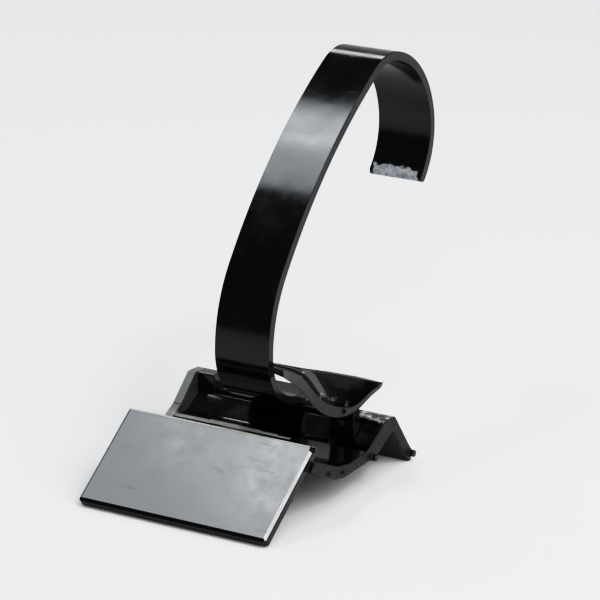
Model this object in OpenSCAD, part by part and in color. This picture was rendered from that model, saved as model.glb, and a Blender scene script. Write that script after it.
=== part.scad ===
// Desk stand for one small wrist item: a sloped tag plate on a folded foot, with an open C ring
// carried on a dished side arm that plugs into the foot. Millimetres, +Z up, resting on Z = 0.

/* [Tag plate] */
// Width of the tag plate
plate_width = 40.6; // [30:0.1:60]
// Length of the tag plate up its slope
plate_length = 22; // [16:0.1:32]
// Thickness of the tag plate
plate_thickness = 1.9; // [1.4:0.05:3]
// Lean of the tag plate above the table
plate_angle = 35; // [25:0.5:50]
// Width of the bevel round the face
plate_bevel = 0.65; // [0.2:0.05:1.2]
// Depth of the bevel round the face
plate_bevel_depth = 0.45; // [0.1:0.05:0.9]
// Radius of the plate's corners
plate_corner = 0.8; // [0.3:0.1:3]
// Width of the small flat along the plate's lower edge
plate_foot_flat = 0.5; // [0.2:0.1:1]

/* [Folded foot] */
// Width of the foot
foot_width = 43.4; // [34:0.1:64]
// How far the foot passes the plate at its right end
foot_overhang = 1.2; // [0:0.1:3]
// How far the foot's left front corner is cut back beside the plate
corner_relief = 1.6; // [0.4:0.1:2.4]
// Height of the trough's floor at the front fold
floor_top = 7.1; // [5:0.05:10]
// Rise of the trough's floor from the front fold to the rear fold
floor_rise = 0.4; // [0:0.05:0.8]
// Thickness of the folded sheet
sheet = 2.1; // [1.2:0.05:2.4]
// Drop angle of the sheet behind the plate
front_angle = 23.7; // [15:0.1:30]
// How far the folded sheet runs in under the plate
sheet_lap = 2.82; // [2:0.02:4]
// Height above the plate's underside where the sheet's upper face ends
sheet_set = 1.02; // [0.4:0.02:1.4]
// How much further the sheet's underside runs in
sheet_tuck = 1.6; // [0.8:0.1:2.4]
// Depth of the trough from the front fold to the rear fold
trough_depth = 9.3; // [7:0.1:12]
// Angle of the rear slope
slope_angle = 29.3; // [24:0.1:38]
// Depth of the rear slope from the rear fold to the ridge
slope_run = 6.3; // [5:0.1:8]
// Depth of the ridge's flat top
ridge_depth = 3.8; // [2:0.1:6]
// Thickness of the ridge above the hollow
ridge_wall = 2.7; // [2:0.1:4]
// How far the hollow's sloping roof runs forward from under the ridge
hollow_run = 6.2; // [5:0.1:7.5]
// Rise of the underside from the front fold to the hollow
hollow_rise = 0.3; // [0:0.05:0.8]
// How far the rear leg reaches back at the table
leg_reach = 6.4; // [4:0.1:10]
// Thickness of the rear leg
leg_thickness = 2.2; // [1.4:0.1:3]
// Slope of the rear leg above the table
leg_angle = 53.4; // [50:0.2:60]
// How far the leg's upright toe leans in at the table
leg_tuck = 0.4; // [0:0.05:0.8]
// How far the underside's front fold lies ahead of the floor's
fold_lead = 1.6; // [0:0.1:3]
// Radius of the fold in front of the trough
fold_radius = 9; // [4:0.5:12]

/* [Pan and rims] */
// Depth of the pan in the slope
pan_depth = 1.1; // [0.5:0.05:1.4]
// Depth of the pan's front edge below the trough's floor
pan_floor_depth = 0.35; // [0.1:0.05:0.6]
// How far the pan's front edge lies ahead of the rear fold
pan_lead = 0.9; // [0.2:0.1:3]
// Width of the right rim
rim_width = 1.0; // [0.6:0.05:2]
// Width of the left cheek
cheek_width = 1.8; // [1:0.1:3]
// Height of the left cheek above the ridge
cheek_rise = 2.8; // [1:0.1:4]
// How far the left cheek's lower end lies ahead of the rear fold
cheek_lead = 3.4; // [1:0.1:5]
// Height above the floor where the left cheek grows steeper
cheek_step = 1.45; // [0.6:0.05:2]
// How far the left cheek's upper end lies ahead of the ridge
cheek_set = 1.1; // [0.4:0.1:2.4]
// Width of the ledge that the left cheek carries over the ridge
ledge_width = 5.6; // [3:0.1:9]
// How far the ledge's front edge lies behind the cheek's upper end
ledge_set = 0.7; // [0.2:0.1:1.5]
// Height of the left cheek's end down the rear leg
cheek_tail = 1.7; // [0.6:0.1:2.4]
// Length of the taper where the left front corner is cut back
relief_taper = 5.5; // [3:0.5:10]
// Radius of the small outer edges
edge_radius = 0.5; // [0.2:0.1:0.8]

/* [Gate stubs] */
// Diameter of the gate stubs
stub_diameter = 1.35; // [0.8:0.05:2]
// Length of the gate stubs
stub_length = 1.0; // [0.4:0.1:2]
// Distance of the trough's gate stub behind the rear fold
stub_back = 1.4; // [0.8:0.1:2.4]
// Depth of the trough's gate stub below the floor
stub_drop = 1.5; // [1:0.1:1.8]
// Diameter of the nub on the plate's corner
nub_diameter = 1.2; // [0.6:0.1:1.6]
// Length of the nub on the plate's corner
nub_length = 0.6; // [0.2:0.1:1.2]
// Distance of the nub from the plate's rear edge
nub_back = 0.7; // [0.4:0.1:2]

/* [Ring] */
// Width of the ring's strip
ring_width = 11.9; // [9:0.1:14]
// Thickness of the ring's strip
ring_thickness = 1.8; // [1.2:0.05:2.6]
// Distance of the ring's right edge from the plate's right edge
ring_inset = 17.5; // [14:0.1:24]
// How far the ring's foremost line lies ahead of the plug's middle
ring_lead = 9.1; // [8:0.1:10]
// Height of the ring's foremost line
ring_height = 23.3; // [22.9:0.1:26]
// Outer radius of the ring's lower bend
bend_low_radius = 11.85; // [10:0.05:11.9]
// Length of the ring's tail over the ridge
tail_length = 4; // [1:0.1:8]
// Outer radius of the ring's front bend
bend_front_radius = 27; // [20:0.5:34]
// Turn of the ring's front bend
bend_front_turn = 36; // [28:0.5:44]
// Outer radius of the ring's long side
bend_side_radius = 114; // [60:1:200]
// Turn of the ring's long side
bend_side_turn = 24.4; // [12:0.2:28]
// Outer radius of the ring's upper bend
bend_upper_radius = 11; // [8:0.5:18]
// Turn of the ring's upper bend
bend_upper_turn = 40.2; // [30:0.2:50]
// Outer radius of the ring's top bend
bend_top_radius = 20.2; // [14:0.2:26]
// Turn of the ring's top bend
bend_top_turn = 67.6; // [50:0.2:80]
// Outer radius of the ring's free end
bend_end_radius = 15.5; // [10:0.5:22]
// Turn of the ring's free end
bend_end_turn = 53.8; // [30:0.2:70]

/* [Dished arm] */
// Reach of the arm to the right of the ring
arm_reach = 19.4; // [16:0.1:22]
// Depth of the dish below the arm's straight edge
arm_dip = 5.9; // [4.5:0.1:6.4]
// How far the arm swings back along its length
arm_swing = 6.4; // [5.4:0.1:7.2]
// Depth of the arm from front edge to rear edge at its tip
arm_tip_depth = 1.3; // [0.8:0.1:2]
// Thickness of the arm at its rear edge
arm_rear_thickness = 1.5; // [1:0.1:2.2]
// Height of the arm's front edge where it is tallest
arm_edge_height = 3.2; // [2.4:0.1:4]
// Fall of the arm's straight rear edge along its reach
arm_fall = 2.15; // [1:0.05:3]
// How far the arm's front edge runs into the ring's strip
arm_lap = 1.6; // [0.8:0.1:3]
// How far the arm's front edge lies behind the ring's foremost line at its root
arm_back = 1.8; // [1.6:0.05:2.4]
// How far the arm's root lies below the ring's foremost line
arm_drop = 1.4; // [0.8:0.1:2]

/* [Plug and socket] */
// Distance of the plug's middle from the plate's right edge
plug_inset = 6.2; // [5:0.1:8]
// Distance of the plug's middle behind the rear fold
plug_run = 3.7; // [3:0.1:4.3]
// Width of one prong
prong_width = 2.05; // [1.2:0.05:2.2]
// Gap between the two prongs
prong_gap = 1.1; // [0.6:0.05:1.6]
// Depth of the prongs from front to back
prong_depth = 2.4; // [1.6:0.1:2.8]
// Height of the prongs' lower ends above the table
prong_low = 4.6; // [3.4:0.1:5.4]
// Clearance in front of and behind the prongs in the socket
socket_clearance = 0.15; // [0.05:0.01:0.4]
// Clearance beside the prongs in the socket
socket_side_clearance = 0.05; // [0.02:0.01:0.3]

/* [Hidden] */
$fn = 64;
eps = 0.01;

foot_right = foot_overhang;
foot_left = foot_right - foot_width;
front_y = plate_length * cos(plate_angle) - sheet_lap;
front_z = front_y * tan(plate_angle) + sheet_set;
front_fold = front_y + (front_z - floor_top) / tan(front_angle);
rear_fold = front_fold + trough_depth;
ridge_front = rear_fold + slope_run;
floor_back = floor_top + floor_rise;
ridge_top = floor_back + slope_run * tan(slope_angle);
ridge_back = ridge_front + ridge_depth;
leg_back = ridge_back + leg_reach;
leg_foot = leg_thickness / sin(leg_angle);
toe_z = ridge_top - (leg_reach + leg_tuck) * tan(leg_angle);
heel_y = ridge_back + ridge_top / tan(leg_angle) - leg_foot;
apex_z = ridge_top - ridge_wall;
apex_y = heel_y - apex_z / tan(leg_angle);
under_floor = floor_top - sheet;
under_drop = sheet / cos(front_angle);
pan_slope_drop = pan_depth / cos(slope_angle);
plug_back = rear_fold + plug_run;
ring_front = plug_back - ring_lead;
clear = foot_width;

// Ring bends: outer radius and turn, from the tail over the ridge, up the front and down the back
bends = [[bend_low_radius, 90], [bend_front_radius, bend_front_turn],
    [bend_side_radius, bend_side_turn], [bend_upper_radius, bend_upper_turn],
    [bend_top_radius, bend_top_turn], [bend_end_radius, bend_end_turn]];
function bend_centre(p, h, r) = [p[0] + r * sin(h), p[1] - r * cos(h)];
function bend_end(p, h, r, t) = bend_centre(p, h, r) + r * [-sin(h - t), cos(h - t)];
// Tangent points of the ring's outer line: point, heading, radius and turn of the bend after it
function walk(p, h, i) = i == len(bends) ? [[p, h, 0, 0]]
    : concat([[p, h, bends[i][0], bends[i][1]]],
    walk(bend_end(p, h, bends[i][0], bends[i][1]), h - bends[i][1], i + 1));
ring_right = -ring_inset;
ring_bottom = ring_height - bend_low_radius;
tail_start = [ring_front + bend_low_radius, ring_bottom];
chain = concat([[tail_start + [tail_length, 0], 180, 0, 0]], walk(tail_start, 180, 0));
top_bend = chain[5];
end_bend = chain[6];
top_centre = bend_centre(top_bend[0], top_bend[1], top_bend[2]);
end_centre = bend_centre(end_bend[0], end_bend[1], end_bend[2]);
ring_rear = end_bend[1] > -90 ? end_centre[0] + end_bend[2] : top_centre[0] + top_bend[2];

// Arm stations: part of the reach, share of the swing, share of the dip on the front edge's upper
// line, and the front edge's height there as a part of its tallest
arm_table = [[0, 0, 0, 0.375], [0.125, 0.305, 0.13, 0.547], [0.25, 0.447, 0.22, 0.906],
    [0.3125, 0.505, 0.38, 1], [0.375, 0.56, 0.66, 1], [0.4375, 0.607, 0.90, 0.89],
    [0.5, 0.652, 1.02, 0.844], [0.5625, 0.695, 1.06, 0.8125], [0.625, 0.735, 1.07, 0.734],
    [0.6875, 0.775, 1.05, 0.603], [0.75, 0.812, 0.97, 0.469], [0.8125, 0.848, 0.78, 0.422],
    [0.875, 0.882, 0.52, 0.375], [0.9375, 0.918, 0.26, 0.328], [1, 0.945, 0.05, 0.281]];
arm_rows = len(arm_table) - 1;
function row_at(i) = arm_table[min(max(i, 0), arm_rows)];
function spline(a, b, c, d, t) = 0.5 * ((2 * b) + (c - a) * t + (2 * a - 5 * b + 4 * c - d) * t * t
    + (3 * b - a - 3 * c + d) * t * t * t);
arm_stations = [for (i = [0 : arm_rows - 1], t = [0, 0.5]) spline(row_at(i - 1), row_at(i),
    row_at(i + 1), row_at(i + 2), t), row_at(arm_rows)];
arm_root_y = ring_front + arm_back;
arm_root_z = ring_height - arm_drop;
function blend(a, b, t) = a * (1 - t) + b * t;
function dish(a, b, c, t) = a * (1 - t) * (1 - t) + b * 2 * t * (1 - t) + c * t * t;
function arm_loop(s) = let (
    t = arm_rear_thickness,
    x = ring_right - arm_lap + s[0] * (arm_reach + arm_lap),
    yn = arm_root_y + s[1] * arm_swing,
    zu = arm_root_z - s[0] * 0.79 * arm_fall - s[2] * arm_dip,
    zl = zu - s[3] * arm_edge_height,
    dip = min(max(s[2], 0), 1),
    hollow = dip * 0.733 * t,
    xf = x - 0.133 * t - 0.4 * t * dip,
    yf = yn + arm_tip_depth + hollow,
    lag = (s[1] - 0.945 * s[0]) * arm_swing + hollow,
    zf = arm_root_z - s[0] * arm_fall + 0.1 * t - 0.46 * lag,
    up = [for (k = [0 : 4]) dish([x, yn, zu], [xf, yf - 0.2 * t, zu - 0.133 * t], [xf, yf, zf], k / 4)],
    low = [for (k = [4 : -1 : 0]) dish([x, yn, zl], [xf, yf + t * (dip + 0.267), zl - 0.167 * t],
        [xf, yf + t * (0.4 + 0.6 * dip), zf - 0.1 * t], k / 4)]
) concat(up, low);

function poly_unit(v) = v / norm(v);

// A polygon whose corners are rounded by true arcs; a corner with radius 0 stays sharp
module rounded_polygon(pts, radii) {
    n = len(pts);
    cut = [for (i = [0 : n - 1]) let (
        v = pts[i],
        a = poly_unit(pts[(i + n - 1) % n] - v),
        b = poly_unit(pts[(i + 1) % n] - v),
        half = acos(max(-1, min(1, a * b))) / 2,
        d = radii[i] > 0 ? radii[i] / tan(half) : 0,
        turn = a[1] * b[0] - a[0] * b[1]
    ) [v + a * d, v, v + b * d, v + poly_unit(a + b) * (radii[i] / sin(half)), turn, radii[i]]];
    difference() {
        union() {
            polygon([for (c = cut) each c[5] > 0 ? [c[0], c[2]] : [c[1]]]);
            for (c = cut) if (c[5] > 0 && c[4] > 0) intersection() {
                polygon([c[0], c[1], c[2]]);
                translate(c[3]) circle(c[5]);
            }
        }
        for (c = cut) if (c[5] > 0 && c[4] < 0) intersection() {
            polygon([c[0], c[1], c[2]]);
            translate(c[3]) circle(c[5]);
        }
    }
}

// Draws a side view in Y and Z and pulls it along X
module along_x(from, width) {
    translate([from, 0, 0]) rotate([90, 0, 90]) linear_extrude(width) children();
}

module tag_plate() {
    b = plate_bevel;
    d = plate_bevel_depth;
    t = plate_thickness;
    w = plate_width;
    l = plate_length;
    difference() {
        rotate([plate_angle, 0, 0]) intersection() {
            translate([-w, 0, 0]) linear_extrude(t) rounded_polygon([[0, 0], [w, 0], [w, l], [0, l]],
                [plate_corner, plate_corner, plate_corner, plate_corner]);
            along_x(-w, w) polygon([[0, -eps], [l, -eps], [l, t - d], [l - b, t], [b, t], [0, t - d]]);
            translate([0, l, 0]) rotate([90, 0, 0]) linear_extrude(l)
                polygon([[-w, -eps], [0, -eps], [0, t - d], [-b, t], [b - w, t], [-w, t - d]]);
        }
        translate([-w - clear / 2, -clear / 2, plate_foot_flat * sin(plate_angle) - clear])
            cube([w + clear, clear, clear]);
    }
}

module foot_sheet() {
    difference() {
        foot_section();
        translate([foot_left, plate_length * cos(plate_angle), 0]) linear_extrude(clear)
            polygon([[-corner_relief, -plate_length], [corner_relief, -plate_length],
                [corner_relief, 0], [-corner_relief, relief_taper * 2]]);
    }
}

module foot_section() {
    along_x(foot_left, foot_width) rounded_polygon([[front_y, front_z], [front_fold, floor_top],
        [rear_fold, floor_back], [ridge_front, ridge_top], [ridge_back, ridge_top],
        [leg_back + leg_tuck, toe_z], [leg_back, 0], [heel_y, 0], [apex_y, apex_z],
        [apex_y - hollow_run, under_floor + hollow_rise], [front_fold - fold_lead, under_floor],
        [front_y - sheet_tuck, front_z + sheet_tuck * tan(front_angle) - under_drop]],
        [0, fold_radius, fold_radius * 0.45, edge_radius, edge_radius, edge_radius, 0, 0,
        edge_radius, fold_radius * 0.4, fold_radius * 0.8, 0]);
}

module left_cheek() {
    bury = sheet / 2;
    top = ridge_top + cheek_rise;
    fall = edge_radius * 0.6;
    soft = edge_radius * 0.8;
    rear = [[ridge_back - cheek_set, top - fall],
        [ridge_back + cheek_tail / tan(leg_angle), ridge_top - cheek_tail],
        [ridge_back - ridge_wall * 0.6, ridge_top - ridge_wall * 0.8]];
    along_x(foot_left, cheek_width) rounded_polygon(concat([[rear_fold - cheek_lead - bury,
        floor_top - bury], [rear_fold - cheek_lead, floor_back - floor_rise * cheek_lead / trough_depth],
        [rear_fold - edge_radius * 0.6, floor_back + cheek_step], [ridge_front - cheek_set, top]],
        rear, [[rear_fold + sheet, floor_top - bury]]), [0, 0, soft, soft, soft, 0, 0, 0]);
    along_x(foot_left, ledge_width) rounded_polygon(concat([[ridge_front - cheek_set + ledge_set,
        ridge_top - pan_slope_drop - bury], [ridge_front - cheek_set + ledge_set, top]], rear),
        [0, soft, soft, 0, 0]);
}

module pan() {
    low = floor_back - pan_floor_depth;
    along_x(foot_left + cheek_width, foot_width - cheek_width - rim_width) rounded_polygon([
        [rear_fold - pan_lead, floor_back + sheet], [rear_fold - pan_lead, low],
        [rear_fold + (pan_slope_drop - pan_floor_depth) / tan(slope_angle), low],
        [ridge_front, ridge_top - pan_slope_drop], [ridge_front, ridge_top + sheet]],
        [0, edge_radius * 0.4, fold_radius * 0.3, edge_radius * 0.8, 0]);
}

module stub(y, z) {
    translate([foot_right - rim_width / 2, y, z]) rotate([0, 90, 0])
        cylinder(h = stub_length + rim_width / 2, d = stub_diameter);
}

plug_width = 2 * prong_width + prong_gap;

module base() {
    color("#16171b") difference() {
        union() {
            tag_plate();
            difference() {
                foot_sheet();
                pan();
            }
            left_cheek();
            stub(leg_back + leg_tuck - stub_diameter / 2, toe_z - stub_diameter / 4);
            stub(rear_fold + stub_back, floor_top - stub_drop);
            rotate([plate_angle, 0, 0]) translate([-nub_diameter / 2, plate_length - nub_back,
                plate_thickness - plate_bevel_depth / 3]) rotate([0, 90, 0])
                cylinder(h = nub_length + nub_diameter / 2, d = nub_diameter);
        }
        translate([-plug_inset - plug_width / 2 - socket_side_clearance,
            plug_back - prong_depth / 2 - socket_clearance, 0])
            cube([plug_width + 2 * socket_side_clearance, prong_depth + 2 * socket_clearance, clear]);
    }
}

// The ring's strip in side view: chords between the tangent points, with each bend's true arc
// added outside and taken away inside
module ring_outline() {
    n = len(chain);
    inner = [for (c = chain) c[0] - ring_thickness * [-sin(c[1]), cos(c[1])]];
    difference() {
        union() {
            polygon(concat([for (c = chain) c[0]], [for (i = [n - 1 : -1 : 0]) inner[i]]));
            for (i = [1 : n - 2]) bend_segment(chain[i], chain[i][0], chain[i][2]);
            for (i = [0, n - 1]) translate((chain[i][0] + inner[i]) / 2) circle(d = ring_thickness);
        }
        for (i = [1 : n - 2]) bend_segment(chain[i], inner[i], chain[i][2] - ring_thickness);
    }
}

// The sliver between a bend's chord and its arc
module bend_segment(c, p, r) {
    centre = bend_centre(p, c[1], r);
    reach = r * tan(c[3] / 2);
    q = bend_end(p, c[1], r, c[3]);
    intersection() {
        polygon([p, p + reach * [cos(c[1]), sin(c[1])], q]);
        translate(centre) circle(r, $fn = 240);
    }
}

module ring() {
    along_x(ring_right - ring_width, ring_width) ring_outline();
}

module dished_arm() {
    loops = [for (s = arm_stations) arm_loop(s)];
    m = len(loops[0]);
    k = len(loops);
    points = [for (l = loops, p = l) p];
    faces = concat([[for (j = [m - 1 : -1 : 0]) j]],
        [for (i = [0 : k - 2], j = [0 : m - 1]) each [
            [i * m + j, i * m + (j + 1) % m, (i + 1) * m + j],
            [(i + 1) * m + j, i * m + (j + 1) % m, (i + 1) * m + (j + 1) % m]]],
        [[for (j = [0 : m - 1]) (k - 1) * m + j]]);
    polyhedron(points, faces);
}

module plug() {
    top = arm_root_z - 0.5 * arm_fall - 1.07 * arm_dip - 0.375 * arm_edge_height;
    for (side = [-1, 1]) translate([-plug_inset + side * (prong_gap + prong_width) / 2
        - prong_width / 2, plug_back - prong_depth / 2, prong_low])
        cube([prong_width, prong_depth, top - prong_low]);
}

module ring_clip() {
    color("#131418") union() {
        ring();
        dished_arm();
        plug();
    }
}

origin_x = (foot_left + foot_right + stub_length) / 2;
origin_y = (ring_rear - (plate_thickness - plate_bevel_depth) * sin(plate_angle)) / 2;
translate([-origin_x, -origin_y, 0]) {
    base();
    ring_clip();
}
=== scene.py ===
# %% [markdown]
# # A small desk stand in glossy black polystyrene
# The real object is a small shop display stand, taken here as two mouldings: a foot with a sloped
# tag plate, and an open C ring on a dished arm that plugs into the foot. It is all one plastic, so
# the lesson is about edges, gloss and moulding marks, not about colours.
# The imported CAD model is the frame. Nothing here changes its size.

# %% Load the frame
import bpy
import bmesh
import math
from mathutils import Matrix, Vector


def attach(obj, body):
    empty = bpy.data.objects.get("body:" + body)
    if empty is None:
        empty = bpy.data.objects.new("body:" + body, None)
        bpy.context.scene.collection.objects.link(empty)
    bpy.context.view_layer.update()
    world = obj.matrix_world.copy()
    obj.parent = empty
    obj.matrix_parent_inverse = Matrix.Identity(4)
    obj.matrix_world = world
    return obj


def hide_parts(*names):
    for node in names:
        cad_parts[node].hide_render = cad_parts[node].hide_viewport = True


MM = 0.001

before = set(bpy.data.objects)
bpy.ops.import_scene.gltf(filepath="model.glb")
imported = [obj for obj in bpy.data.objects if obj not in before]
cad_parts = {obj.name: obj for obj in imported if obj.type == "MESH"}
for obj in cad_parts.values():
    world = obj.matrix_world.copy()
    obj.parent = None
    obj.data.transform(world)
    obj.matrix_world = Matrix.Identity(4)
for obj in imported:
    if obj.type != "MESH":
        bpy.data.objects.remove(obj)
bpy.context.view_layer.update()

# %% [markdown]
# The CAD was drawn from the tag plate's lower right corner. The imported row has its origin in the
# middle of the box, so one shift in millimetres takes a drawing point to a scene point. The camera,
# the gate stubs, the moulding marks and the painted highlights, reflections and shade are placed in
# drawing millimetres, and the lights in the scene's metres.

# %% Drawing point to scene point
PLATE_CORNER = Vector((20.0, -46.79, 0.0))


def at(x, y, z):
    return (PLATE_CORNER + Vector((x, y, z))) * MM


print("plate corner in the scene:", at(0, 0, 0))

# %% [markdown]
# The photograph was taken with a long lens from a little above the table. The camera's angles were
# fitted mainly to the plate's corners and sides, the long edges that run beside it and the rear
# foot: 30.5 degrees round to the right and 18.7 degrees up. The lens, 204 mm on a 36 mm wide sensor
# and 613 mm away, is the better of two that were tried. A long lens keeps the edges of the plate
# nearly parallel.

# %% Camera at the photograph's angle
AZIMUTH, ELEVATION = math.radians(30.5), math.radians(18.66)
FOCAL_PX, IMAGE_PX = 3400.0, 600.0
SENSOR_MM = 36.0
# where the plate's lower right corner falls in the photograph, and how many pixels 1 mm has there
CORNER_PX = (267.8, 548.1)
CORNER_PX_PER_MM = 5.55
DISTANCE = FOCAL_PX / CORNER_PX_PER_MM

right = Vector((math.cos(AZIMUTH), math.sin(AZIMUTH), 0))
back = Vector((math.sin(AZIMUTH) * math.cos(ELEVATION), -math.cos(AZIMUTH) * math.cos(ELEVATION),
               math.sin(ELEVATION)))
up = back.cross(right)
half = IMAGE_PX / 2
eye = (back * DISTANCE - right * ((CORNER_PX[0] - half) / FOCAL_PX * DISTANCE)
       + up * ((CORNER_PX[1] - half) / FOCAL_PX * DISTANCE))

lens = bpy.data.cameras.new("camera")
lens.sensor_width = SENSOR_MM
lens.lens = FOCAL_PX / IMAGE_PX * SENSOR_MM
lens.clip_start, lens.clip_end = 0.05, 20.0
camera = bpy.data.objects.new("camera", lens)
camera.location = at(*eye)
camera.rotation_mode = "QUATERNION"
camera.rotation_quaternion = (-back).to_track_quat("-Z", "Y")
bpy.context.scene.collection.objects.link(camera)
bpy.context.scene.camera = camera
print("lens", round(lens.lens), "mm at", [round(v) for v in camera.location / MM])

# %% [markdown]
# Colours are written as sRGB hex, as a colour picker shows them. Blender's nodes want linear light,
# so one function turns them.

# %% Hex colour to linear


def linear(hex_code):
    parts = [int(hex_code[i:i + 2], 16) / 255 for i in (1, 3, 5)]
    return (*[p / 12.92 if p <= 0.04045 else ((p + 0.055) / 1.055) ** 2.4 for p in parts], 1.0)


# %% [markdown]
# A material is a tree of nodes. One small function adds a node, sets it and links its inputs, so
# that each material below reads as a list of what it is made of.

# %% Add one node


def node(tree, kind, settings=None, inputs=None):
    made = tree.nodes.new(kind)
    for name, value in (settings or {}).items():
        setattr(made, name, value)
    for name, value in (inputs or {}).items():
        socket = made.inputs[name]
        if isinstance(value, bpy.types.NodeSocket):
            tree.links.new(value, socket)
        else:
            socket.default_value = value
    return made


# %% [markdown]
# ## The plastic
# Polystyrene coloured right through with carbon black. It has an index of about 1.59 and leaves a
# polished mould with a hard gloss. The gloss is never perfect: the wall sinks and swells by a few
# hundredths of a millimetre, fingers leave a haze, and handling leaves hairline scratches. The
# bumps here are drawn at those sizes, in Object coordinates, so they stay put in any view.

# %% Noise scale for features of a size in mm


def scale_for(size_mm):
    return 1000.0 / size_mm


# %% [markdown]
# Scuffs, satin patches and painted highlights, reflections and shade sit at known places. Each is
# masked by a box in drawing millimetres, which can lean about X as the tag plate does. The mask is
# full deep inside the box and fades out over a short blur just within its surface.

# %% A soft-edged box as a mask


def inside_box(tree, place, low, high, blur_mm, lean):
    middle = (Vector(low) + Vector(high)) / 2 * MM
    half_size = (Vector(high) - Vector(low)) / 2 * MM
    drawn = node(tree, "ShaderNodeVectorMath", settings={"operation": "SUBTRACT"}, inputs={
        0: place, 1: at(0, 0, 0)})
    laid_flat = node(tree, "ShaderNodeVectorRotate", settings={"rotation_type": "X_AXIS"}, inputs={
        "Vector": drawn.outputs["Vector"], "Angle": math.radians(-lean)})
    away = node(tree, "ShaderNodeVectorMath", settings={"operation": "SUBTRACT"}, inputs={
        0: laid_flat.outputs["Vector"], 1: middle})
    away = node(tree, "ShaderNodeVectorMath", settings={"operation": "ABSOLUTE"}, inputs={
        0: away.outputs["Vector"]})
    away = node(tree, "ShaderNodeVectorMath", settings={"operation": "SUBTRACT"}, inputs={
        0: away.outputs["Vector"], 1: half_size})
    sides = node(tree, "ShaderNodeSeparateXYZ", inputs={"Vector": away.outputs["Vector"]})
    farther = node(tree, "ShaderNodeMath", settings={"operation": "MAXIMUM"}, inputs={
        0: sides.outputs["X"], 1: sides.outputs["Y"]})
    farthest = node(tree, "ShaderNodeMath", settings={"operation": "MAXIMUM"}, inputs={
        0: farther.outputs["Value"], 1: sides.outputs["Z"]})
    return node(tree, "ShaderNodeMapRange", inputs={
        "Value": farthest.outputs["Value"], "From Min": -blur_mm * MM, "From Max": 0.0,
        "To Min": 1.0, "To Max": 0.0}).outputs["Result"]


# %% Glossy moulded black polystyrene
POLYSTYRENE_IOR = 1.59
DUST_COLOUR = "#2b2c2f"
# the satin roughness is a real finish, and the satin colour is painted sheen, a grey standing in for
# light
PAINTED_SHEEN_COLOUR, SATIN_ROUGHNESS = "#656665", 0.42
HAZE_PATCH_MM, SCRATCH_MM, SCRATCH_STRETCH = 5.0, 6.0, 14.0
TEAR_MM, TEAR_REACH_MM, GRAIN_MM = 2.5, 2.4, 1.3
# a mark with a larger share of bare gaps than this has a torn outline
TORN_ABOVE = 0.3


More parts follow.
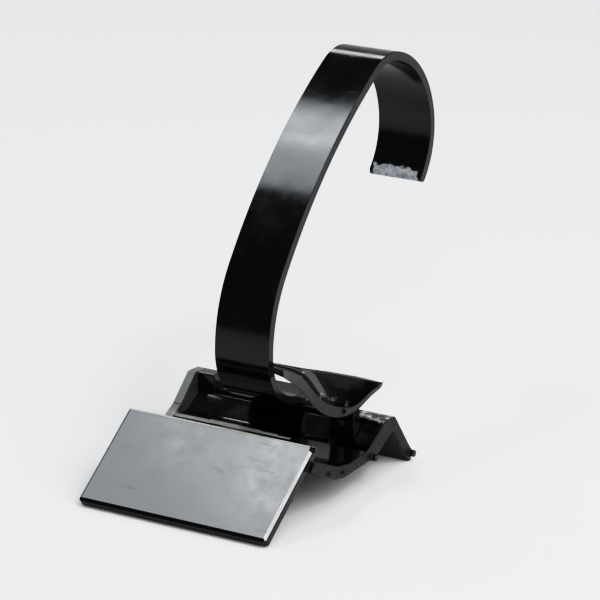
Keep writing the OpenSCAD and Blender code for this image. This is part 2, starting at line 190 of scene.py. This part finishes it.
def moulded_polystyrene(name, tint, gloss, haze, ripple_mm, ripple_depth, marks=()):
    material = bpy.data.materials.new(name)
    material.use_nodes = True
    tree = material.node_tree
    tree.nodes.clear()
    place = node(tree, "ShaderNodeTexCoord").outputs["Object"]

    # slow sink and swell of the wall, wavelength in mm
    ripple = node(tree, "ShaderNodeTexNoise", inputs={
        "Vector": place, "Scale": scale_for(ripple_mm), "Detail": 0.0})
    # finger haze and handling marks, in patches
    patches = node(tree, "ShaderNodeTexNoise", inputs={
        "Vector": place, "Scale": scale_for(HAZE_PATCH_MM), "Detail": 5.0, "Roughness": 0.62})
    haze_range = node(tree, "ShaderNodeMapRange", inputs={
        "Value": patches.outputs["Fac"], "From Min": 0.38, "From Max": 0.72,
        "To Min": gloss, "To Max": haze})
    # hairline scratches: a noise stretched to 6 mm long and 0.4 mm across, of which only the thin
    # peaks show
    stretched = node(tree, "ShaderNodeMapping", inputs={
        "Vector": place, "Rotation": (0.4, 0.7, 0.5),
        "Scale": (1.0, SCRATCH_STRETCH, SCRATCH_STRETCH)})
    hairlines = node(tree, "ShaderNodeTexNoise", inputs={
        "Vector": stretched.outputs["Vector"], "Scale": scale_for(SCRATCH_MM), "Detail": 2.0,
        "Roughness": 0.5})
    lines = node(tree, "ShaderNodeMapRange", inputs={
        "Value": hairlines.outputs["Fac"], "From Min": 0.66, "From Max": 0.74,
        "To Min": 0.0, "To Max": 0.12})
    rough = node(tree, "ShaderNodeMath", settings={"operation": "ADD", "use_clamp": True}, inputs={
        0: haze_range.outputs["Result"], 1: lines.outputs["Result"]})
    # the carbon black is a little uneven and greys where dust sits
    dust = node(tree, "ShaderNodeMapRange", inputs={
        "Value": patches.outputs["Fac"], "From Min": 0.55, "From Max": 0.8,
        "To Min": 0.0, "To Max": 0.35})
    colour = node(tree, "ShaderNodeMix", settings={"data_type": "RGBA"}, inputs={
        0: dust.outputs["Result"], 6: linear(tint), 7: linear(DUST_COLOUR)})
    wave = node(tree, "ShaderNodeBump", inputs={
        "Height": ripple.outputs["Fac"], "Strength": 1.0, "Distance": ripple_depth * MM})
    scratch = node(tree, "ShaderNodeBump", inputs={
        "Height": lines.outputs["Result"], "Strength": 0.25, "Distance": 0.01 * MM,
        "Normal": wave.outputs["Normal"]})
    shown, dull = colour.outputs[2], rough.outputs["Value"]
    # walls of the mould that were left as machined come out satin, with a grey that is painted
    # sheen:
    # the piece carries them as an attribute
    satin_and_sheen = node(tree, "ShaderNodeAttribute", settings={"attribute_name": "satin_and_painted_sheen"})
    shown = node(tree, "ShaderNodeMix", settings={"data_type": "RGBA"}, inputs={
        0: satin_and_sheen.outputs["Fac"], 6: shown, 7: linear(PAINTED_SHEEN_COLOUR)}).outputs[2]
    dull = node(tree, "ShaderNodeMix", inputs={
        0: satin_and_sheen.outputs["Fac"], 2: dull, 3: SATIN_ROUGHNESS}).outputs[0]
    # a mark is a box in drawing millimetres with a blur, colour, roughness, share of bare gaps and
    # lean in degrees, 0 for level and 35 for the plate. Some marks are wear, and some are painted
    # highlights, reflections and shade
    for low, high, blur_mm, mark_or_painted_light_colour, mark_rough, gaps, lean in marks:
        edge = place
        if gaps > TORN_ABOVE:
            tear = node(tree, "ShaderNodeTexNoise", inputs={
                "Vector": place, "Scale": scale_for(TEAR_MM), "Detail": 2.0})
            tear = node(tree, "ShaderNodeVectorMath", settings={"operation": "SUBTRACT"}, inputs={
                0: tear.outputs["Color"], 1: (0.5, 0.5, 0.5)})
            edge = node(tree, "ShaderNodeVectorMath", settings={"operation": "MULTIPLY_ADD"},
                        inputs={0: tear.outputs["Vector"], 1: (TEAR_REACH_MM * MM,) * 3,
                                2: place}).outputs["Vector"]
        mask = inside_box(tree, edge, low, high, blur_mm, lean)
        grain = node(tree, "ShaderNodeTexNoise", inputs={
            "Vector": place, "Scale": scale_for(GRAIN_MM), "Detail": 4.0, "Roughness": 0.7})
        cover = node(tree, "ShaderNodeMapRange", inputs={
            "Value": grain.outputs["Fac"], "From Min": 0.25 + 0.3 * gaps,
            "From Max": 0.45 + 0.3 * gaps, "To Min": 1.0 - gaps, "To Max": 1.0})
        amount = node(tree, "ShaderNodeMath", settings={"operation": "MULTIPLY"}, inputs={
            0: mask, 1: cover.outputs["Result"]})
        shown = node(tree, "ShaderNodeMix", settings={"data_type": "RGBA"}, inputs={
            0: amount.outputs["Value"], 6: shown, 7: linear(mark_or_painted_light_colour)}).outputs[2]
        dull = node(tree, "ShaderNodeMix", inputs={
            0: amount.outputs["Value"], 2: dull, 3: mark_rough}).outputs[0]
    shader = node(tree, "ShaderNodeBsdfPrincipled", inputs={
        "Base Color": shown, "Roughness": dull, "IOR": POLYSTYRENE_IOR,
        "Normal": scratch.outputs["Normal"]})
    node(tree, "ShaderNodeOutputMaterial", inputs={"Surface": shader.outputs["BSDF"]})
    return material


# %% [markdown]
# The foot has a rim on its left cheek, satin with a grey of painted sheen and crossed by a dark line
# of painted shade, and a strip of painted reflection ahead of the pan that narrows to the right,
# here in five boxes. The ridge's right end is scuffed pale.

# %% The two mouldings' marks and plastics
foot_wear_and_painted_light = [
    # the left cheek's rim: its roughness is a satin finish, its grey colour is painted sheen
    ((-43, 31.0, 7.0), (-40.35, 44.6, 15), 0.1, "#737472", 0.42, 0.12, 0),
    # painted reflection: a pale strip ahead of the pan, in five boxes narrowing to the right
    ((-41.0, 32.1, 7.0), (-32.6, 33.7, 8.0), 0.15, "#90918f", 0.40, 0.12, 0),
    ((-33.2, 32.2, 7.0), (-26.6, 34.0, 8.0), 0.15, "#90918f", 0.40, 0.12, 0),
    ((-27.2, 32.2, 7.0), (-21.6, 33.8, 8.0), 0.15, "#90918f", 0.40, 0.12, 0),
    ((-22.2, 32.2, 7.0), (-17.7, 33.5, 8.0), 0.15, "#90918f", 0.40, 0.12, 0),
    ((-18.3, 32.2, 7.0), (-14.6, 33.1, 8.0), 0.15, "#90918f", 0.40, 0.12, 0),
    ((-5.5, 40.7, 10.6), (1.6, 45.4, 11.5), 0.4, "#d4d5d0", 0.50, 0.8, 0),
    # painted shade: a dark line across the cheek's rim
    ((-43, 34.45, 7.0), (-40.35, 34.7, 15), 0.06, "#101112", 0.60, 0.2, 0),
    # the foot's right end is duller than the faces
    ((0.9, 8.0, -1.0), (1.7, 62.0, 14.0), 0.1, "#0d0e10", 0.50, 0.3, 0),
    # painted highlight: the bevel along the top of the tag plate is coloured pale
    ((-40.3, 21.42, 1.3), (-0.5, 22.1, 2.1), 0.05, "#b9bab0", 0.30, 0.25, 35),
]
# painted highlight: the ring has a torn pale band inside the lip of its free end
clip_painted_highlights = [
    ((-28.9, 84.0, 42.0), (-18.3, 90.2, 45.5), 0.25, "#9a9ca0", 0.30, 0.4, 0),
    # painted glints where the dish meets its front wall
    ((-9.9, 36.2, 15.1), (-6.6, 37.5, 15.9), 0.15, "#a3a49f", 0.35, 0.85, 0),
    ((-5.6, 37.0, 14.9), (-4.6, 37.9, 15.5), 0.15, "#a3a49f", 0.35, 0.85, 0),
]
foot_plastic = moulded_polystyrene(
    "foot moulded black polystyrene", tint="#0a0b0d", gloss=0.09, haze=0.19, ripple_mm=14.0,
    ripple_depth=0.03, marks=foot_wear_and_painted_light)
clip_plastic = moulded_polystyrene(
    "clip moulded black polystyrene", tint="#0b0c0e", gloss=0.10, haze=0.20, ripple_mm=16.0,
    ripple_depth=0.025, marks=clip_painted_highlights)

# %% [markdown]
# ## Softening the edges
# A mould never has a perfectly sharp edge, and on black plastic the small radius is what shows: it
# catches a bright line. A copy of each CAD node is merged, its flat faces are joined, and a small
# bevel is cut along every sharp edge.

# %% [markdown]
# Smooth shading has a price: a large flat face whose corners borrow the bevel's normals mirrors the
# light as if it were dented. So each corner's normal is the sum of the faces round it that lie
# within 33 degrees, and a face counts by its area: flats win, and only the bevels curve.

# %% Normals that keep large flats flat


def keep_flats_flat(mesh, within_degrees):
    round_vertex = [[] for vertex in mesh.vertices]
    for face in mesh.polygons:
        for vertex in face.vertices:
            round_vertex[vertex].append(face)
    limit = math.cos(math.radians(within_degrees))
    normals = []
    for face in mesh.polygons:
        for vertex in face.vertices:
            total = Vector((0, 0, 0))
            for other in round_vertex[vertex]:
                if other.normal.dot(face.normal) > limit:
                    total += other.normal * other.area
            normals.append(total.normalized() if total.length else face.normal)
    mesh.normals_split_custom_set(normals)


# %% Dress a CAD node with soft edges
EDGE_RADIUS_MM = 0.13
MERGE_MM, MERGE_DEGREES = 0.045, 0.6
# turns between two faces, in degrees. The bevel round the tag plate's face turns 34.7, so its inner
# edges stay as the CAD has them
SOFTENED_ABOVE, FLAT_WITHIN, SMOOTH_WITHIN = 38, 33, 30


def dress(node_name, piece_name, material):
    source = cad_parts[node_name]
    mesh = source.data.copy()
    mesh.name = piece_name
    piece = bpy.data.objects.new(piece_name, mesh)
    bpy.context.scene.collection.objects.link(piece)
    mesh.materials.clear()
    mesh.materials.append(material)
    work = bmesh.new()
    work.from_mesh(mesh)
    bmesh.ops.remove_doubles(work, verts=work.verts, dist=MERGE_MM * MM)
    bmesh.ops.dissolve_limit(work, angle_limit=math.radians(MERGE_DEGREES), verts=work.verts,
                             edges=work.edges, delimit={"NORMAL"})
    for face in work.faces:
        face.material_index = 0
    work.to_mesh(mesh)
    work.free()
    bpy.ops.object.select_all(action="DESELECT")
    bpy.context.view_layer.objects.active = piece
    piece.select_set(True)
    soft = piece.modifiers.new("edge radius", "BEVEL")
    soft.limit_method = "ANGLE"
    soft.angle_limit = math.radians(SOFTENED_ABOVE)
    soft.width = EDGE_RADIUS_MM * MM
    soft.segments = 3
    soft.use_clamp_overlap = False
    bpy.ops.object.modifier_apply(modifier=soft.name)
    bpy.ops.object.shade_smooth_by_angle(angle=math.radians(SMOOTH_WITHIN))
    keep_flats_flat(piece.data, FLAT_WITHIN)
    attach(piece, "root")
    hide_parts(node_name)
    print(piece_name, "has", len(piece.data.polygons), "faces")
    return piece


foot = dress("base", "foot", foot_plastic)
clip = dress("ring_clip", "clip", clip_plastic)

# %% [markdown]
# The dished arm's front wall is satin, as if the mould was left as machined there, and its grey is
# painted sheen: it shows as a grey band under the glossy dish. It stands upright and faces the
# front, turned a little to the right, so its faces are found by their normal and place and written
# to the mesh as an attribute.

# %% Mark the arm's satin front wall, whose grey is painted sheen


def satin_and_painted_sheen(piece, left_mm, lowest_mm):
    values = piece.data.attributes.new("satin_and_painted_sheen", "FLOAT", "FACE")
    found = 0
    for face in piece.data.polygons:
        place = face.center / MM - PLATE_CORNER
        upright = abs(face.normal.z) < 0.06
        front_right = face.normal.y < -0.9 and face.normal.x > 0.08
        if upright and front_right and place.x > left_mm and place.z > lowest_mm:
            values.data[face.index].value = 1.0
            found += 1
    print(found, "satin faces on", piece.name)


satin_and_painted_sheen(clip, left_mm=-16.8, lowest_mm=10.0)

# %% [markdown]
# ## Moulding leftovers
# The foot's right end shows two cut-off gate stubs and the arm's front wall one. Each is a short
# peg, nipped off: its end is dished and its rim is ragged. A cylinder is a start, its end is inset
# and pushed in, and the corners of its rim are pulled out of true.

# %% Model one nipped gate stub
# shares of the stub's radius: the rim's width and the dish's slope
RIM_SHARE, DISH_SHARE = 0.24, 0.30
# shares of its height: the dish's depth, the raggedness and where the rim starts
DEPTH_SHARE, RAGGED_SHARE, RIM_FROM_SHARE = 0.30, 0.16, 0.4
RIM_RADIUS_MM = 0.05


def gate_stub(name, place, outward, radius_mm, height_mm, squash, slot_name):
    bpy.ops.object.select_all(action="DESELECT")
    bpy.ops.mesh.primitive_cylinder_add(vertices=24, radius=radius_mm * MM, depth=height_mm * MM,
                                        location=at(*place))
    stub = bpy.context.object
    stub.name = stub.data.name = name
    stub.rotation_euler = Vector(outward).to_track_quat("Z", "Y").to_euler()
    stub.scale = (1.0, squash, 1.0)
    bpy.ops.object.mode_set(mode="EDIT")
    bpy.ops.mesh.select_all(action="DESELECT")
    shape = bmesh.from_edit_mesh(stub.data)
    shape.faces.ensure_lookup_table()
    max(shape.faces, key=lambda face: face.calc_center_median().z).select = True
    bmesh.update_edit_mesh(stub.data)
    bpy.ops.mesh.inset(thickness=RIM_SHARE * radius_mm * MM, depth=0.0)
    bpy.ops.mesh.inset(thickness=DISH_SHARE * radius_mm * MM, depth=-DEPTH_SHARE * height_mm * MM)
    bpy.ops.object.mode_set(mode="OBJECT")
    for corner in stub.data.vertices:
        ragged = math.sin(corner.index * 2.4) * 0.5 + math.sin(corner.index * 5.1) * 0.5
        if corner.co.z > RIM_FROM_SHARE * height_mm * MM:
            corner.co.z += RAGGED_SHARE * height_mm * MM * ragged
    rim = stub.modifiers.new("rim radius", "BEVEL")
    rim.limit_method = "ANGLE"
    rim.angle_limit = math.radians(40)
    rim.width = RIM_RADIUS_MM * MM
    rim.segments = 2
    bpy.ops.object.modifier_apply(modifier=rim.name)
    bpy.ops.object.transform_apply(location=True, rotation=True, scale=True)
    bpy.ops.object.shade_smooth_by_angle(angle=math.radians(35))
    stub.data.materials.append(clip_plastic if slot_name == "ring_clip" else foot_plastic)
    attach(stub, "root")
    print(name, "has", len(stub.data.polygons), "faces")


gate_stub("gate_stub_front", (1.25, 19.91, 7.75), (1, 0, 0), 0.42, 0.5, 0.8, "base")
gate_stub("gate_stub_middle", (1.25, 25.1, 6.35), (1, 0, 0), 0.42, 0.5, 0.8, "base")
gate_stub("gate_stub_arm", (-4.97, 36.2, 13.7), (0.19, -0.98, 0), 0.36, 0.5, 1.5, "ring_clip")

# %% [markdown]
# ## Table and light
# The photograph has a pale seamless table. The plate mirrors the ceiling light, so that light is a
# large soft sheet overhead, bright enough for the black gloss to turn mid grey.

# %% Pale table
bpy.ops.object.select_all(action="DESELECT")
bpy.ops.mesh.primitive_plane_add(size=6.0, location=(0, 0, 0))
table = bpy.context.object
table.name = "table"
sheet = bpy.data.materials.new("pale table")
sheet.use_nodes = True
surface = sheet.node_tree.nodes["Principled BSDF"]
surface.inputs["Base Color"].default_value = linear("#e9e9ea")
surface.inputs["Roughness"].default_value = 0.7
table.data.materials.append(sheet)

# %% [markdown]
# For this camera the plate mirrors a spot that lies 29 degrees to the left of straight up. The main
# light hangs there, with a small brighter core and two clouds that the plate's ripples blur. The
# bevel down the plate's right edge mirrors a spot above the right, where it has its own narrow
# light, and that draws the white line there.

# %% Soft studio lights


def soft_light(name, place, aim, width, depth, watts, tint="#ffffff"):
    data = bpy.data.lights.new(name, "AREA")
    data.shape = "RECTANGLE"
    data.size, data.size_y = width, depth
    data.energy = watts
    data.color = linear(tint)[:3]
    lamp = bpy.data.objects.new(name, data)
    lamp.location = place
    lamp.rotation_mode = "QUATERNION"
    lamp.rotation_quaternion = (Vector(aim) - Vector(place)).to_track_quat("-Z", "Y")
    bpy.context.scene.collection.objects.link(lamp)


COOL = "#f5fbff"
soft_light("main light over the left", (-0.49, -0.13, 0.85), (-0.49, -0.13, 0),
           0.36, 0.34, 1.88, COOL)
soft_light("core of the main light", (-0.40, -0.07, 0.84), (-0.40, -0.07, 0),
           0.13, 0.13, 0.15, COOL)
soft_light("cloud on the left", (-0.495, -0.100, 0.845), (-0.495, -0.1, 0),
           0.032, 0.012, 0.009, COOL)
soft_light("cloud on the right", (-0.436, -0.105, 0.835), (-0.436, -0.105, 0),
           0.008, 0.036, 0.010, COOL)
soft_light("strip light behind", (-0.60, 0.68, 0.80), (-0.3, 0.2, 0), 0.50, 0.20, 1.6)
soft_light("fill light above", (0.33, 0.05, 0.95), (0.33, 0.05, 0), 0.76, 0.60, 2.8)
soft_light("bevel light above the right", (0.605, -0.09, 0.90), (0.605, -0.09, 0), 0.14, 0.28, 1.6)
soft_light("low light on the right", (0.90, -0.45, 0.56), (0, 0, 0), 1.50, 1.10, 12.0)

# %% [markdown]
# Black gloss shows what stands round it. The room has a low pale wall behind and is pale all over
# on the right, as from a window. The front left and the upper left are dark.

# %% The room
world = bpy.data.worlds.new("studio")
world.use_nodes = True
room = world.node_tree
towards = node(room, "ShaderNodeTexCoord").outputs["Generated"]
axes = node(room, "ShaderNodeSeparateXYZ", inputs={"Vector": towards})
behind = node(room, "ShaderNodeMapRange", settings={"interpolation_type": "SMOOTHSTEP"}, inputs={
    "Value": axes.outputs["Y"], "From Min": 0.0, "From Max": 0.45, "To Min": 0.0, "To Max": 1.0})
below = node(room, "ShaderNodeMapRange", settings={"interpolation_type": "SMOOTHSTEP"}, inputs={
    "Value": axes.outputs["Z"], "From Min": 0.35, "From Max": 0.7, "To Min": 1.0, "To Max": 0.0})
wall = node(room, "ShaderNodeMath", settings={"operation": "MULTIPLY"}, inputs={
    0: behind.outputs["Result"], 1: below.outputs["Result"]})
window = node(room, "ShaderNodeMapRange", settings={"interpolation_type": "SMOOTHSTEP"}, inputs={
    "Value": axes.outputs["X"], "From Min": -0.25, "From Max": 0.25, "To Min": 0.0, "To Max": 1.0})
pale = node(room, "ShaderNodeMath", settings={"operation": "MAXIMUM"}, inputs={
    0: wall.outputs["Value"], 1: window.outputs["Result"]})
shade = node(room, "ShaderNodeMapRange", inputs={
    "Value": pale.outputs["Value"], "To Min": 0.10, "To Max": 0.62})
backdrop = room.nodes["Background"]
backdrop.inputs["Color"].default_value = linear("#f8f9fc")
room.links.new(shade.outputs["Result"], backdrop.inputs["Strength"])
bpy.context.scene.world = world

# %% [markdown]
# The photograph is exposed for a white table, so its lightest tones flatten and its darkest sink.
# The view's curve does the same. Its points were tuned against single tones: the table and the plate
# come close, and the shadows less so.

# %% Exposure of the photograph
response = bpy.context.scene.view_settings
response.view_transform = "Standard"
response.look = "None"
response.exposure = 0.0
response.use_curve_mapping = True
WHITE = 1.6
response.curve_mapping.white_level = (WHITE, WHITE, WHITE)
curve = response.curve_mapping.curves[3]
# each pair is light in the scene and light as shown
for light, shown in ((0.01, 0.003), (0.05, 0.015), (0.1, 0.042), (0.2, 0.15), (0.33, 0.33),
                     (0.5, 0.53), (0.8, 0.78), (1.0, 0.865), (1.3, 0.90)):
    curve.points.new(light / WHITE, shown)
curve.points[-1].location = (1.0, 0.91)
response.curve_mapping.update()
